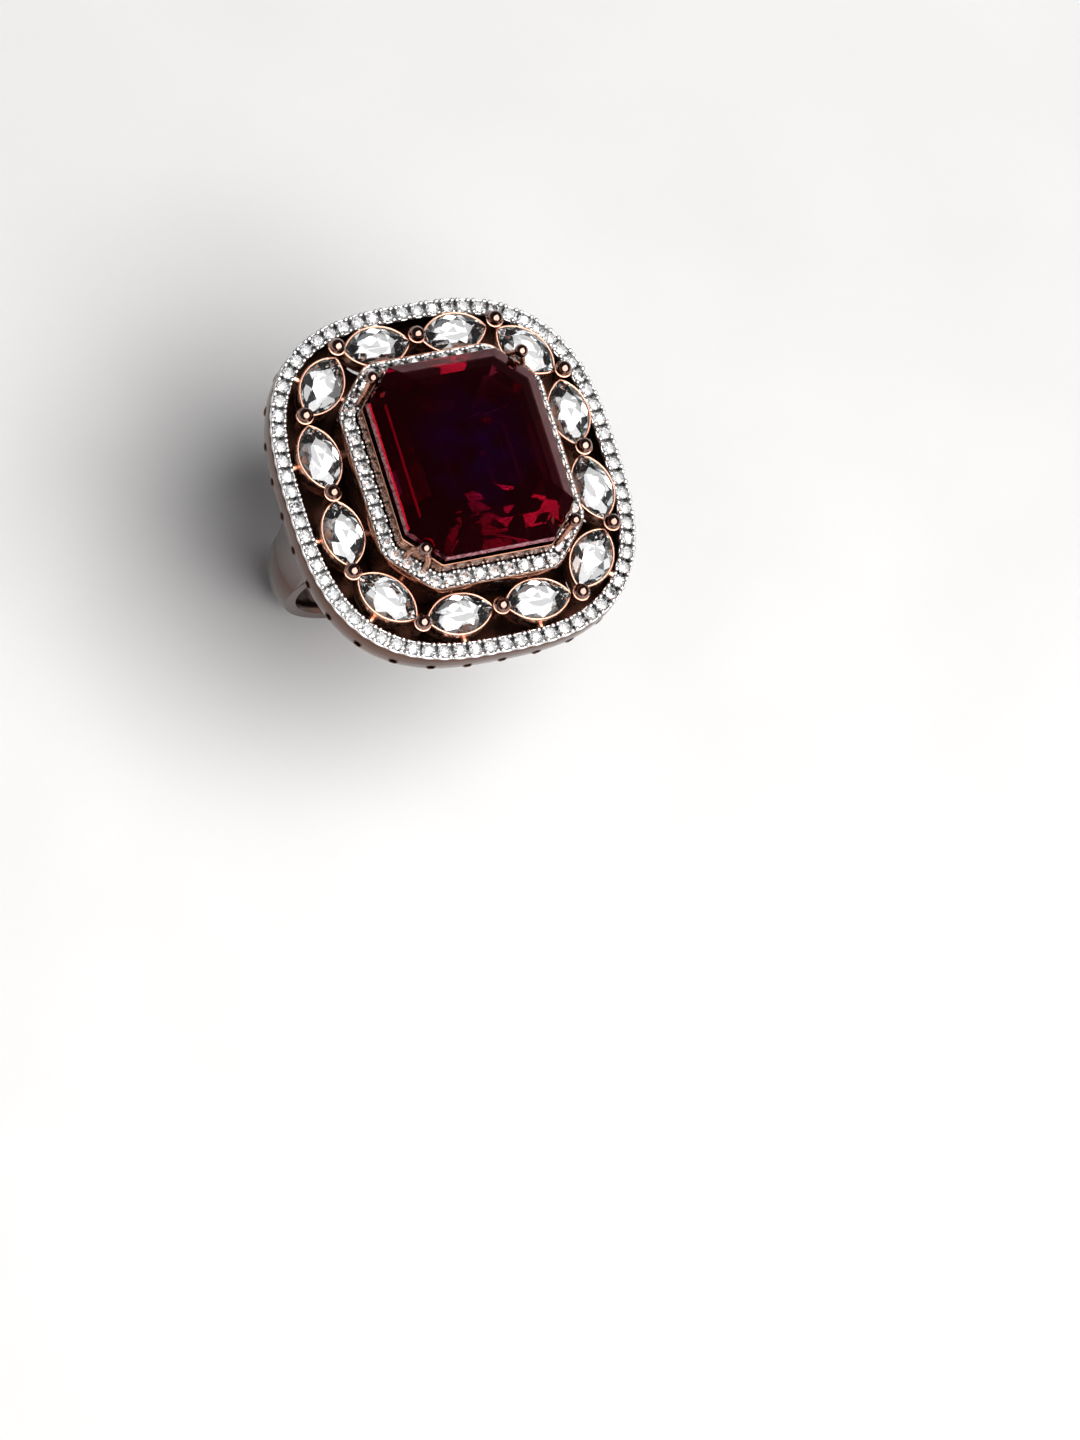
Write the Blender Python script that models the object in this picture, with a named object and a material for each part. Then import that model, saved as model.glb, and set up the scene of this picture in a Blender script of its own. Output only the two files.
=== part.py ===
"""Cocktail ring: a step-cut centre stone in an octagonal halo, twelve marquise stones
around it, and a cushion-shaped outer frame, on a cathedral shank.

The origin is the centre of the finger hole. +Z points out of the face of the ring,
+Y is the finger's axis and the long side of the head, +X runs across the finger.
Lengths in this file are millimetres until mesh_object() turns them into metres.
Heights on the head are measured from the plane of the outer rail's stones.
"""
import math

import bmesh
import bpy
from mathutils import Matrix, Vector
from mathutils.geometry import intersect_line_line_2d

MM = 0.001

# Finger hole and shank
FINGER_RADIUS = 8.65
SHANK_THICKNESS = 1.55
SHANK_WIDTH_TOP = 5.6
SHANK_WIDTH_BOTTOM = 3.0
SHANK_STATIONS = 56
SHOULDER_THICKNESS = 1.30
SHOULDER_FLARE = 1.95

# Outer frame: a superellipse rail that carries a row of small round stones
FACE_Z = 13.0
FRAME_HALF_X = 12.15
FRAME_HALF_Y = 12.95
FRAME_POWER = 2.85
FRAME_STONES = 72
RAIL_HALF_WIDTH = 0.62
RAIL_DEPTH = 0.55
WALL_DEPTH = 2.75
WALL_STATIONS = 64
WALL_HOLES = 32
WALL_HOLE_RADIUS = 0.26
WALL_HOLE_HEIGHT = -1.55
BASE_THICKNESS = 0.5
BASE_STATIONS = 48

# Round stones of both rows
MELEE_RADIUS = 0.525
MELEE_RISE = 0.16
MELEE_NECK = 0.25

# Marquise stones, their bezels, and the beads that stand between them
MARQUISE_LENGTH = 4.96
MARQUISE_WIDTH = 2.96
MARQUISE_INSET = 0.978
MARQUISE_GIRDLE = 0.88
MARQUISE_TABLE = 1.40
MARQUISE_KEEL = -0.45
BEZEL_TOP = 0.95
BEZEL_BOTTOM = -0.50
BEZEL_LIP = 0.15
BEADS_IN_QUARTER = ((9.72, 0.0), (10.02, 6.03), (6.12, 10.73))
BEAD_ON_LONG_AXIS = (0.0, 10.59)
BEAD_RADIUS = 0.585
BEAD_HEIGHT = 1.55
CUP_RADIUS = 0.66
CUP_TOP = 1.50
CUP_DEPTH = 0.45
STEM_RADIUS = 0.30

# Centre stone
STONE_HALF_X = 6.48
STONE_HALF_Y = 7.44
STONE_CUT_X = 2.30
STONE_CUT_Y = 2.45
STONE_SEAT = 3.72

# Octagonal halo: offsets are measured outwards from the centre stone's outline
HALO_TOP = 2.15
HALO_BOTTOM = 1.50
HALO_INNER = 0.20
HALO_OUTER = 1.42
HALO_ROW = 0.72
HALO_STONES = 48
CLAW_BALL_RADIUS = 0.50
CLAW_BALL_HEIGHT = 5.25
CLAW_BALL_OUT = 0.57
CLAW_WIRE_RADIUS = 0.20
CLAW_SPREAD = 0.78

# Room left between neighbouring pieces
GAP = 0.05

ROSE_GOLD = (0.86, 0.53, 0.40, 1.0)
WHITE_METAL = (0.80, 0.80, 0.81, 1.0)
DEEP_RED = (0.22, 0.004, 0.012, 1.0)
CLEAR = (0.90, 0.92, 0.95, 1.0)


# ------------------------------------------------------------ materials and objects

def make_material(name, colour, roughness, metallic):
    material = bpy.data.materials.new(name)
    material.use_nodes = True
    shader = material.node_tree.nodes["Principled BSDF"]
    shader.inputs["Base Color"].default_value = colour
    shader.inputs["Roughness"].default_value = roughness
    shader.inputs["Metallic"].default_value = metallic
    material.diffuse_color = colour
    return material


def mesh_object(name, bm, material, smooth_angle=30.0):
    """Turn a bmesh in millimetres into an object in metres, parented to the ring."""
    bmesh.ops.scale(bm, vec=(MM, MM, MM), verts=bm.verts)
    bmesh.ops.recalc_face_normals(bm, faces=bm.faces)
    mesh = bpy.data.meshes.new(name)
    bm.to_mesh(mesh)
    bm.free()
    mesh.shade_smooth()
    mesh.set_sharp_from_angle(angle=math.radians(smooth_angle))
    piece = bpy.data.objects.new(name, mesh)
    piece.data.materials.append(material)
    bpy.context.scene.collection.objects.link(piece)
    piece.parent = bpy.data.objects["cocktail_ring"]
    return piece


def combine(target, tool, operation):
    """Cut or join with a tool object, which stays in the file as a hidden guide."""
    tool.hide_render = True
    tool.display_type = "WIRE"
    modifier = target.modifiers.new(operation.lower(), "BOOLEAN")
    modifier.operation = operation
    modifier.solver = "EXACT"
    modifier.object = tool


# ------------------------------------------------------------ outlines

def spaced(outline, count):
    """Walk a closed outline and return count points at equal spacing."""
    total = len(outline)
    lengths = [(outline[(i + 1) % total] - outline[i]).length for i in range(total)]
    pitch = sum(lengths) / count
    points = []
    walked = 0.0
    index = 0
    for k in range(count):
        while walked + lengths[index] < k * pitch:
            walked += lengths[index]
            index += 1
        share = (k * pitch - walked) / lengths[index]
        points.append(outline[index].lerp(outline[(index + 1) % total], share))
    return points


def frame_outline(count):
    """The outer frame's centreline, from +X anticlockwise, at equal spacing."""
    curve = []
    fine = 2880
    for step in range(fine):
        angle = 2 * math.pi * step / fine
        across = abs(math.cos(angle) / FRAME_HALF_X) ** FRAME_POWER
        along = abs(math.sin(angle) / FRAME_HALF_Y) ** FRAME_POWER
        reach = (across + along) ** (-1 / FRAME_POWER)
        curve.append(Vector((reach * math.cos(angle), reach * math.sin(angle))))
    return spaced(curve, count)


def octagon(shrink=0.0, cut=1.0):
    """The centre stone's outline, made smaller, with its corner cuts scaled."""
    half_x = STONE_HALF_X - shrink
    half_y = STONE_HALF_Y - shrink
    right_top = [Vector((half_x, half_y - STONE_CUT_Y * cut)),
                 Vector((half_x - STONE_CUT_X * cut, half_y))]
    left_top = [Vector((-p.x, p.y)) for p in reversed(right_top)]
    bottom = [-p for p in right_top + left_top]
    return right_top + left_top + bottom


def long_side_first(outline):
    """The octagon again, starting at the middle of its +X side."""
    middle = (outline[-1] + outline[0]) / 2
    return [middle] + outline


def outward(outline):
    """Mitre vector at each point: it moves every side of the outline out by one."""
    total = len(outline)
    result = []
    for i in range(total):
        before = (outline[i] - outline[i - 1]).normalized()
        after = (outline[(i + 1) % total] - outline[i]).normalized()
        side = Vector((before.y, -before.x))
        normal = (side + Vector((after.y, -after.x))).normalized()
        result.append(normal / normal.dot(side))
    return result


def offset(outline, distance):
    return [point + mitre * distance for point, mitre in zip(outline, outward(outline))]


def marquise_outline(length, width, per_side=9):
    """Two arcs that meet in points on the X axis, anticlockwise from +X."""
    radius = (length * length + width * width) / (4 * width)
    half_angle = math.asin(length / 2 / radius)
    drop = radius - width / 2
    upper = []
    for step in range(per_side):
        angle = half_angle * (1 - 2 * step / per_side)
        upper.append(Vector((radius * math.sin(angle), radius * math.cos(angle) - drop)))
    return upper + [-p for p in upper]


def bead_places():
    """The twelve bead positions, anticlockwise from +X."""
    right_top = [Vector(place) for place in BEADS_IN_QUARTER]
    left_top = [Vector((-p.x, p.y)) for p in reversed(right_top)]
    half_turn = right_top + [Vector(BEAD_ON_LONG_AXIS)] + left_top[:-1]
    return half_turn + [-p for p in half_turn]


def marquise_places():
    """Centre and direction of each marquise stone, between two beads."""
    beads = bead_places()
    places = []
    for i, bead in enumerate(beads):
        following = beads[(i + 1) % len(beads)]
        centre = (bead + following) / 2 * MARQUISE_INSET
        places.append((centre, (bead - following).normalized()))
    return places


def reach(outline, start, direction):
    """Distance from a point to the nearest crossing of an outline along a direction."""
    far = start + direction * 30
    sides = zip(outline, outline[1:] + outline[:1])
    hits = [intersect_line_line_2d(start, far, a, b) for a, b in sides]
    return min((hit - start).length for hit in hits if hit)


# ------------------------------------------------------------ solids

def loft(bm, loops, closed=False):
    """Join loops of equal length with quads; cap the ends, or join last to first."""
    rows = [[bm.verts.new(point) for point in loop] for loop in loops]
    pairs = list(zip(rows, rows[1:]))
    if closed:
        pairs.append((rows[-1], rows[0]))
    for lower, upper in pairs:
        count = len(lower)
        for i in range(count):
            j = (i + 1) % count
            bm.faces.new((lower[i], lower[j], upper[j], upper[i]))
    if not closed:
        bm.faces.new(list(reversed(rows[0])))
        bm.faces.new(rows[-1])


def band(outline, profile):
    """Sweep a closed profile of (offset, height) along a closed outline."""
    bm = bmesh.new()
    loops = []
    for distance, height in profile:
        level = FACE_Z + height
        loops.append([(p.x, p.y, level) for p in offset(outline, distance)])
    loft(bm, loops, closed=True)
    return bm


def prism(outline, low, high):
    bm = bmesh.new()
    loft(bm, [[(p.x, p.y, level) for p in outline] for level in (low, high)])
    return bm


def turned(profile, sides, centre, height):
    """Spin (radius, height) pairs about an upright axis; the ends close on the axis."""
    bm = bmesh.new()
    x, y = centre
    bottom = bm.verts.new((x, y, height + profile[0][1]))
    top = bm.verts.new((x, y, height + profile[-1][1]))
    rows = []
    for radius, level in profile[1:-1]:
        row = []
        for k in range(sides):
            angle = 2 * math.pi * k / sides
            at = (x + radius * math.cos(angle), y + radius * math.sin(angle))
            row.append(bm.verts.new((*at, height + level)))
        rows.append(row)
    for k in range(sides):
        j = (k + 1) % sides
        bm.faces.new((bottom, rows[0][j], rows[0][k]))
        bm.faces.new((top, rows[-1][k], rows[-1][j]))
        for lower, upper in zip(rows, rows[1:]):
            bm.faces.new((lower[k], lower[j], upper[j], upper[k]))
    return bm


def ball_profile(radius, height, steps, start=0):
    """Points down a ball's meridian from below, ending on the axis above."""
    points = []
    for k in range(start, steps + 1):
        angle = math.pi * (k / steps - 0.5)
        points.append((radius * math.cos(angle), height + radius * math.sin(angle)))
    return points


def tube(points, radius, sides):
    """A round wire through points, with flat ends."""
    bm = bmesh.new()
    loops = []
    side = (points[1] - points[0]).orthogonal()
    for i, point in enumerate(points):
        ahead = points[min(i + 1, len(points) - 1)]
        behind = points[max(i - 1, 0)]
        direction = (ahead - behind).normalized()
        side = (side - direction * side.dot(direction)).normalized()
        other = direction.cross(side)
        ring = []
        for k in range(sides):
            angle = 2 * math.pi * k / sides
            ring.append(point + (side * math.cos(angle) + other * math.sin(angle)) * radius)
        loops.append(ring)
    loft(bm, loops)
    return bm


# ------------------------------------------------------------ shank and gallery

def shank_width(angle):
    """Width of the band at an angle from the top of the ring."""
    share = 0.5 + 0.5 * math.cos(angle)
    return SHANK_WIDTH_BOTTOM + (SHANK_WIDTH_TOP - SHANK_WIDTH_BOTTOM) * share


def band_section(inner, outer):
    """Half-round section as (radius, share of the width): eased inside, domed outside."""
    return ((inner, -0.40), (inner, 0.40), (inner + 0.22, 0.50), (outer - 0.55, 0.50),
            (outer - 0.12, 0.34), (outer, 0.0), (outer - 0.12, -0.34),
            (outer - 0.55, -0.50), (inner + 0.22, -0.50))


def make_shank(material):
    """A full band with a cathedral arm joined to each side."""
    loops = []
    for radius, share in band_section(FINGER_RADIUS, FINGER_RADIUS + SHANK_THICKNESS):
        loop = []
        for k in range(SHANK_STATIONS):
            angle = 2 * math.pi * k / SHANK_STATIONS
            y = share * shank_width(angle)
            loop.append((radius * math.sin(angle), y, radius * math.cos(angle)))
        loops.append(loop)
    bm = bmesh.new()
    loft(bm, loops, closed=True)
    shank = mesh_object("shank", bm, material)
    for side, label in ((-1, "left"), (1, "right")):
        combine(shank, make_shoulder(side, label, material), "UNION")
    return shank


def make_shoulder(side, label, material):
    """One cathedral arm: it leaves the band at the finger's middle and flares upwards."""
    top = FACE_Z - WALL_DEPTH - GAP
    band_outer = FINGER_RADIUS + SHANK_THICKNESS
    foot = -0.1
    levels = 7
    loops = []
    for k in range(levels):
        share = foot + (1 - foot) * k / (levels - 1)
        outer = band_outer - 0.08 + SHOULDER_FLARE * max(share, 0.0) ** 2
        width = shank_width(math.acos(share)) - 0.08
        section = band_section(outer - SHOULDER_THICKNESS, outer)
        loops.append([(side * x, across * width, top * share) for x, across in section])
    bm = bmesh.new()
    loft(bm, loops)
    return mesh_object("shoulder_" + label, bm, material)


def make_gallery_base(material):
    """The plate under the head, pierced behind every marquise and the centre stone."""
    low = FACE_Z - WALL_DEPTH
    edge = offset(frame_outline(BASE_STATIONS), -0.36)
    base = mesh_object("gallery_base", prism(edge, low, low + BASE_THICKNESS), material)
    window = prism(octagon(shrink=1.6, cut=0.8), low - 1, low + 2)
    combine(base, mesh_object("base_window", window, material), "DIFFERENCE")
    for i, (centre, direction) in enumerate(marquise_places()):
        outline = marquise_outline(MARQUISE_LENGTH * 0.62, MARQUISE_WIDTH * 0.55, 4)
        turn = Matrix.Rotation(math.atan2(direction.y, direction.x), 2)
        azure = prism([centre * 0.985 + turn @ p for p in outline], low - 1, low + 2)
        combine(base, mesh_object(f"azure_{i + 1:02d}", azure, material), "DIFFERENCE")
    return base


def make_outer_wall(material):
    """The frame's side: a rounded band with a row of small round holes."""
    foot = -WALL_DEPTH
    head = -RAIL_DEPTH - GAP
    profile = ((0.50, head), (0.60, -1.25), (0.48, -2.10), (0.20, foot),
               (-0.30, foot), (-0.10, head))
    wall = mesh_object("outer_wall", band(frame_outline(WALL_STATIONS), profile), material)
    path = frame_outline(WALL_HOLES)
    drills = bmesh.new()
    for point, normal in zip(path, outward(path)):
        drill = bmesh.ops.create_cone(drills, cap_ends=True, segments=6, depth=2.4,
                                      radius1=WALL_HOLE_RADIUS, radius2=WALL_HOLE_RADIUS)
        aim = normal.to_3d().to_track_quat("Z", "Y").to_matrix()
        middle = (point + normal * 0.2).to_3d()
        middle.z = FACE_Z + WALL_HOLE_HEIGHT
        bmesh.ops.rotate(drills, matrix=aim, verts=drill["verts"])
        bmesh.ops.translate(drills, vec=middle, verts=drill["verts"])
    combine(wall, mesh_object("wall_drills", drills, material), "DIFFERENCE")
    return wall


# ------------------------------------------------------------ rows of round stones

def make_rail(name, outline, inner, outer, low, high, material):
    """A rail whose top is hollowed for a row of stones."""
    row_depth = 0.28
    lip = 0.12
    profile = ((outer, low), (outer, high), (outer - lip, high - row_depth),
               (inner + lip, high - row_depth), (inner, high), (inner, low))
    return mesh_object(name, band(outline, profile), material)


def make_stone_row(name, path, high, material):
    """The stones of one row as a single strip, wide at each stone, narrow between."""
    low = high - 0.28 + GAP
    corners = ((1, low), (1, high + MELEE_RISE), (-1, high + MELEE_RISE), (-1, low))
    loops = []
    for side, level in corners:
        loop = []
        for i, (point, mitre) in enumerate(zip(path, outward(path))):
            half = MELEE_RADIUS - 0.08 if i % 2 == 0 else MELEE_NECK
            at = point + mitre * side * half
            loop.append((at.x, at.y, FACE_Z + level))
        loops.append(loop)
    bm = bmesh.new()
    loft(bm, loops, closed=True)
    return mesh_object(name, bm, material)


def make_outer_rail(metal, stone):
    rail = frame_outline(FRAME_STONES)
    make_rail("outer_rail", rail, -RAIL_HALF_WIDTH, RAIL_HALF_WIDTH, -RAIL_DEPTH, 0.0, metal)
    make_stone_row("outer_stone_row", frame_outline(2 * FRAME_STONES), 0.0, stone)


def make_halo(metal, gold, stone):
    outline = octagon()
    make_rail("halo_rail", outline, HALO_INNER, HALO_OUTER, HALO_BOTTOM, HALO_TOP, metal)
    row = long_side_first(offset(outline, HALO_ROW))
    make_stone_row("halo_stone_row", spaced(row, 2 * HALO_STONES), HALO_TOP, stone)
    foot = BASE_THICKNESS - WALL_DEPTH + GAP
    ledge = HALO_BOTTOM - GAP
    wall = ((1.25, ledge), (0.80, foot), (0.30, foot), (0.60, ledge - 0.5),
            (-0.40, ledge - 0.4), (-0.40, ledge))
    mesh_object("halo_wall", band(outline, wall), gold)


# ------------------------------------------------------------ centre stone

def make_centre_seat(material):
    """The collar that the centre stone sits on, sloped inside like its pavilion."""
    top = STONE_SEAT - 0.07
    profile = ((0.15, HALO_BOTTOM), (0.15, top), (0.0, top), (-0.42, top - 0.48),
               (-0.42, HALO_BOTTOM))
    return mesh_object("centre_seat", band(octagon(), profile), material)


def make_centre_stone(material):
    """An emerald cut: stepped pavilion, steep girdle step, stepped crown, large table."""
    steps = ((5.70, 0.18, -2.10), (3.20, 0.62, 0.50), (1.30, 0.84, 2.40),
             (0.0, 1.0, STONE_SEAT), (0.06, 1.0, 4.74), (0.85, 0.88, 5.45),
             (1.75, 0.76, 5.93), (2.50, 0.66, 6.15))
    loops = []
    for shrink, cut, height in steps:
        outline = octagon(shrink, cut)
        loops.append([(p.x, p.y, FACE_Z + height) for p in outline])
    bm = bmesh.new()
    loft(bm, loops)
    return mesh_object("centre_stone", bm, material, smooth_angle=1.0)


def make_claw(number, corner, normal, material):
    """A claw of two wires that rise from the halo and meet under a ball."""
    along = Vector((-normal.y, normal.x))

    def at(out, side, height):
        place = corner + normal * out + along * side
        return Vector((place.x, place.y, FACE_Z + height))

    ball = turned(ball_profile(CLAW_BALL_RADIUS, CLAW_BALL_HEIGHT, 6), 10,
                  corner + normal * CLAW_BALL_OUT, FACE_Z)
    claw = mesh_object(f"claw_{number}", ball, material)
    for side in (-1, 1):
        spread = side * CLAW_SPREAD
        foot = HALO_TOP + MELEE_RISE + GAP
        points = [at(0.45, spread, foot), at(0.45, spread, 3.1), at(0.47, spread * 0.82, 3.9),
                  at(0.51, spread * 0.45, 4.6), at(CLAW_BALL_OUT, spread * 0.12, 5.1)]
        wire = tube(points, CLAW_WIRE_RADIUS, 8)
        label = "a" if side < 0 else "b"
        combine(claw, mesh_object(f"claw_{number}_wire_{label}", wire, material), "UNION")
    return claw


def make_claws(material):
    outline = octagon()
    for number in range(4):
        start, end = outline[2 * number], outline[2 * number + 1]
        normal = Vector((end.y - start.y, start.x - end.x)).normalized()
        make_claw(number + 1, (start + end) / 2, normal, material)


# ------------------------------------------------------------ marquise stones and beads

def stand(bm, centre, direction):
    """Turn a piece drawn along X to lie along a direction, and move it to its place."""
    turn = Matrix.Rotation(math.atan2(direction.y, direction.x), 3, "Z")
    bmesh.ops.rotate(bm, matrix=turn, verts=bm.verts)
    bmesh.ops.translate(bm, vec=(centre.x, centre.y, 0.0), verts=bm.verts)


def add_pin(bm, side, low, high, length):
    """Draw a small square pin out of the middle of a bezel's long side."""
    bm.faces.ensure_lookup_table()
    facing = [f for f in bm.faces if abs(f.calc_center_median().x) < 0.01]
    wall = max(facing, key=lambda f: side * f.calc_center_median().y)
    bmesh.ops.inset_individual(bm, faces=[wall], thickness=0.10)
    middle = wall.calc_center_median().z
    for vert in wall.verts:
        vert.co.z = FACE_Z + (high if vert.co.z > middle else low)
    pushed = bmesh.ops.extrude_discrete_faces(bm, faces=[wall])["faces"][0]
    bmesh.ops.translate(bm, vec=(0.0, side * length, 0.0), verts=pushed.verts)


def make_bezel(number, centre, direction, material):
    """A marquise collar with one pin to the outer rail and one to the halo's wall."""
    outline = marquise_outline(MARQUISE_LENGTH, MARQUISE_WIDTH)
    profile = ((BEZEL_LIP, BEZEL_TOP), (0.06, BEZEL_TOP), (-0.12, BEZEL_TOP - 0.45),
               (-0.12, BEZEL_BOTTOM), (0.10, BEZEL_BOTTOM))
    bm = band(outline, profile)
    normal = Vector((direction.y, -direction.x))
    side = -1 if normal.dot(centre) > 0 else 1
    outwards = normal * -side
    own_half = MARQUISE_WIDTH / 2 + BEZEL_LIP
    rail = offset(frame_outline(FRAME_STONES), -RAIL_HALF_WIDTH)
    halo = offset(octagon(), 1.14)
    add_pin(bm, side, -0.42, 0.0, reach(rail, centre, outwards) - own_half - GAP)
    add_pin(bm, -side, 0.15, 0.65, reach(halo, centre, -outwards) - own_half - GAP)
    stand(bm, centre, direction)
    return mesh_object(f"marquise_bezel_{number:02d}", bm, material)


def make_marquise(number, centre, direction, material):
    outline = marquise_outline(MARQUISE_LENGTH, MARQUISE_WIDTH)
    sizes = ((0.40, 0.06, MARQUISE_KEEL), (1.0, 1.0, MARQUISE_GIRDLE),
             (1.0, 1.0, MARQUISE_GIRDLE + 0.08), (0.64, 0.58, MARQUISE_TABLE))
    loops = []
    for along, across, height in sizes:
        loops.append([(p.x * along, p.y * across, FACE_Z + height) for p in outline])
    bm = bmesh.new()
    loft(bm, loops)
    stand(bm, centre, direction)
    return mesh_object(f"marquise_stone_{number:02d}", bm, material, smooth_angle=5.0)


def make_bead(number, centre, material):
    """A stem between two bezel tips, which widens above them into a cup for a ball."""
    ball = ball_profile(BEAD_RADIUS, BEAD_HEIGHT, 6, start=3)
    profile = [(0.0, BEZEL_BOTTOM), (STEM_RADIUS, BEZEL_BOTTOM),
               (STEM_RADIUS, CUP_TOP - CUP_DEPTH), (CUP_RADIUS, CUP_TOP - 0.10),
               (CUP_RADIUS, CUP_TOP), *ball]
    bm = turned(profile, 10, centre, FACE_Z)
    return mesh_object(f"bead_prong_{number:02d}", bm, material, smooth_angle=50.0)


def main():
    for piece in list(bpy.data.objects):
        bpy.data.objects.remove(piece)
    root = bpy.data.objects.new("cocktail_ring", None)
    bpy.context.scene.collection.objects.link(root)

    gold = make_material("rose_gold", ROSE_GOLD, 0.12, 1.0)
    white = make_material("white_metal", WHITE_METAL, 0.12, 1.0)
    red = make_material("deep_red_stone", DEEP_RED, 0.03, 0.0)
    clear = make_material("clear_stone", CLEAR, 0.03, 0.0)

    make_shank(gold)
    make_gallery_base(gold)
    make_outer_wall(gold)
    make_outer_rail(white, clear)
    make_halo(white, gold, clear)
    make_centre_seat(gold)
    make_centre_stone(red)
    make_claws(gold)
    for i, (centre, direction) in enumerate(marquise_places()):
        make_bezel(i + 1, centre, direction, gold)
        make_marquise(i + 1, centre, direction, clear)
    for i, centre in enumerate(bead_places()):
        make_bead(i + 1, centre, gold)


main()
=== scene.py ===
"""Looks for the cocktail ring: cut stones, pavé rows, polished metal, studio and camera.

Lengths are millimetres in the ring's own frame until make_piece() and combine() turn
them into metres. The studio's and the camera's lengths are metres.
Heights on the head are measured from the plane of the outer rail, as in the CAD part.
"""
import math
import random

import bmesh
import bpy
from mathutils import Matrix, Vector
from mathutils.geometry import intersect_line_line_2d


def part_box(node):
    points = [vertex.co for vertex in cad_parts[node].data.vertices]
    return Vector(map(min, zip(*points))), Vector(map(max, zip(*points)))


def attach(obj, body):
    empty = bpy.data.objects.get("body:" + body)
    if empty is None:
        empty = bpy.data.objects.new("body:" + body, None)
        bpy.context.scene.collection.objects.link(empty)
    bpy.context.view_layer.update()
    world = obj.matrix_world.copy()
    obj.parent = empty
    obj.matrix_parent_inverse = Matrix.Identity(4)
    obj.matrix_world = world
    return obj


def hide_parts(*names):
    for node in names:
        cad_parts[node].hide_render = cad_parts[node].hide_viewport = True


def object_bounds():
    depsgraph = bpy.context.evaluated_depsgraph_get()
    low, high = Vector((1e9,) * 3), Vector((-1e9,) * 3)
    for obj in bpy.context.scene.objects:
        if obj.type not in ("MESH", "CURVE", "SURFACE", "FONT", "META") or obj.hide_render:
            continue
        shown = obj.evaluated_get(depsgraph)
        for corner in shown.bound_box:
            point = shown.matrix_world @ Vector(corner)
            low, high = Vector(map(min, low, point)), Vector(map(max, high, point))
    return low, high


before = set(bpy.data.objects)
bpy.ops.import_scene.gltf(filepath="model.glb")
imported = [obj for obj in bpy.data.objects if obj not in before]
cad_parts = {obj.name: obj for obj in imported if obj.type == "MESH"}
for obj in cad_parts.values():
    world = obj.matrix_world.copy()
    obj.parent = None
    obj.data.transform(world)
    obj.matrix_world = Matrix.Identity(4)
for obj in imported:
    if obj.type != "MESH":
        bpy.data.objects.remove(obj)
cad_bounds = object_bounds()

MM = 0.001

# Measures of the CAD part: the boxes of its solids, and what its curves are drawn from
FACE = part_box("outer_rail")[1].z / MM
RAIL_HALF_WIDTH = 0.62
FRAME_HALF_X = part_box("outer_rail")[1].x / MM - RAIL_HALF_WIDTH
FRAME_HALF_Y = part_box("outer_rail")[1].y / MM - RAIL_HALF_WIDTH
FRAME_POWER = 2.85
STONE_HALF_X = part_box("centre_stone")[1].x / MM
STONE_HALF_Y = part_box("centre_stone")[1].y / MM
STONE_CUT_X = 2.30
STONE_CUT_Y = 2.45
WALL_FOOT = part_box("outer_wall")[0].z / MM - FACE
RAIL_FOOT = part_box("outer_rail")[0].z / MM - FACE
PLATE_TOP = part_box("gallery_base")[1].z / MM - FACE
HALO_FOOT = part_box("halo_rail")[0].z / MM - FACE
HALO_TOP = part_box("halo_rail")[1].z / MM - FACE
SEAT_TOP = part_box("centre_seat")[1].z / MM - FACE
FLOOR_Z = cad_bounds[0][2]
BAND_OUTER = -FLOOR_Z / MM

# Shank: a round band, and an arm on each side whose foot is a share of the arm's height
FINGER_RADIUS = 8.65
SHANK_WIDTH_TOP = 5.6
SHANK_WIDTH_BOTTOM = 3.0
SHOULDER_THICKNESS = 1.30
SHOULDER_FLARE = 1.95
BAND_EASE = 0.26
BAND_EASE_POWER = 5
BAND_DOME = 0.50
BAND_DOME_POWER = 2.4
ARM_FOOT = -0.1
ARM_SUNK = 0.05

# How finely curves are divided
CURVE_STEPS = 2880
PIN_RAIL_POINTS = 288
WALL_POINTS = 320
PLATE_POINTS = 240
BAND_STATIONS = 240
ARM_LEVELS = 25

# Where the facets of a brilliant cut join, as shares of crown and pavilion
STAR_JOIN = 0.52
PAVILION_JOIN = 0.70

# Rows of round stones. A cut is the table's share of the width, the heights of crown,
# girdle and pavilion, and half the keel's length.
FRAME_STONES = 72
HALO_STONES = 48
MELEE_RADIUS = 0.47
MELEE_CUT = (0.52, 0.16, 0.03, 0.35, 0.0)
MELEE_TILT = 6
PAVE_BEAD_RADIUS = 0.18
PAVE_BEAD_OUT = 0.45
RAIL_BEAD_STEP = 0.20
RAIL_BEAD_RISE = 0.08
HALO_BEAD_STEP = 0.17
HALO_BEAD_RISE = 0.07
RAIL_WAVE = 0.05

# Halo: its offsets are measured outwards from the centre stone's outline. An easing is
# how far from a corner its rounding starts.
HALO_INNER = 0.20
HALO_OUTER = 1.42
HALO_CHANNEL_OUTER = 1.33
HALO_PIN_END = 1.12
HALO_ROW = 0.72
HALO_EASE = 0.25
SEAT_EASE = 0.12

# Wall of the frame, and the plate behind the head with its windows
WALL_TOP = -0.24
WALL_OUT = 0.60
WALL_HOLES = 32
WALL_HOLE_RADIUS = 0.26
WALL_HOLE_HEIGHT = -1.55
HOLE_RIM_RADIUS = 0.06
HOLE_RIM_OUT = 0.05
DRILL_IN = 1.2
DRILL_OUT = 1.4
PLATE_INSET = 0.30
WINDOW_SHRINK = 1.6
WINDOW_CUT = 0.8
WINDOW_EASE = 0.4
AZURE_LENGTH = 0.62
AZURE_WIDTH = 0.55
AZURE_INSET = 0.985

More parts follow.
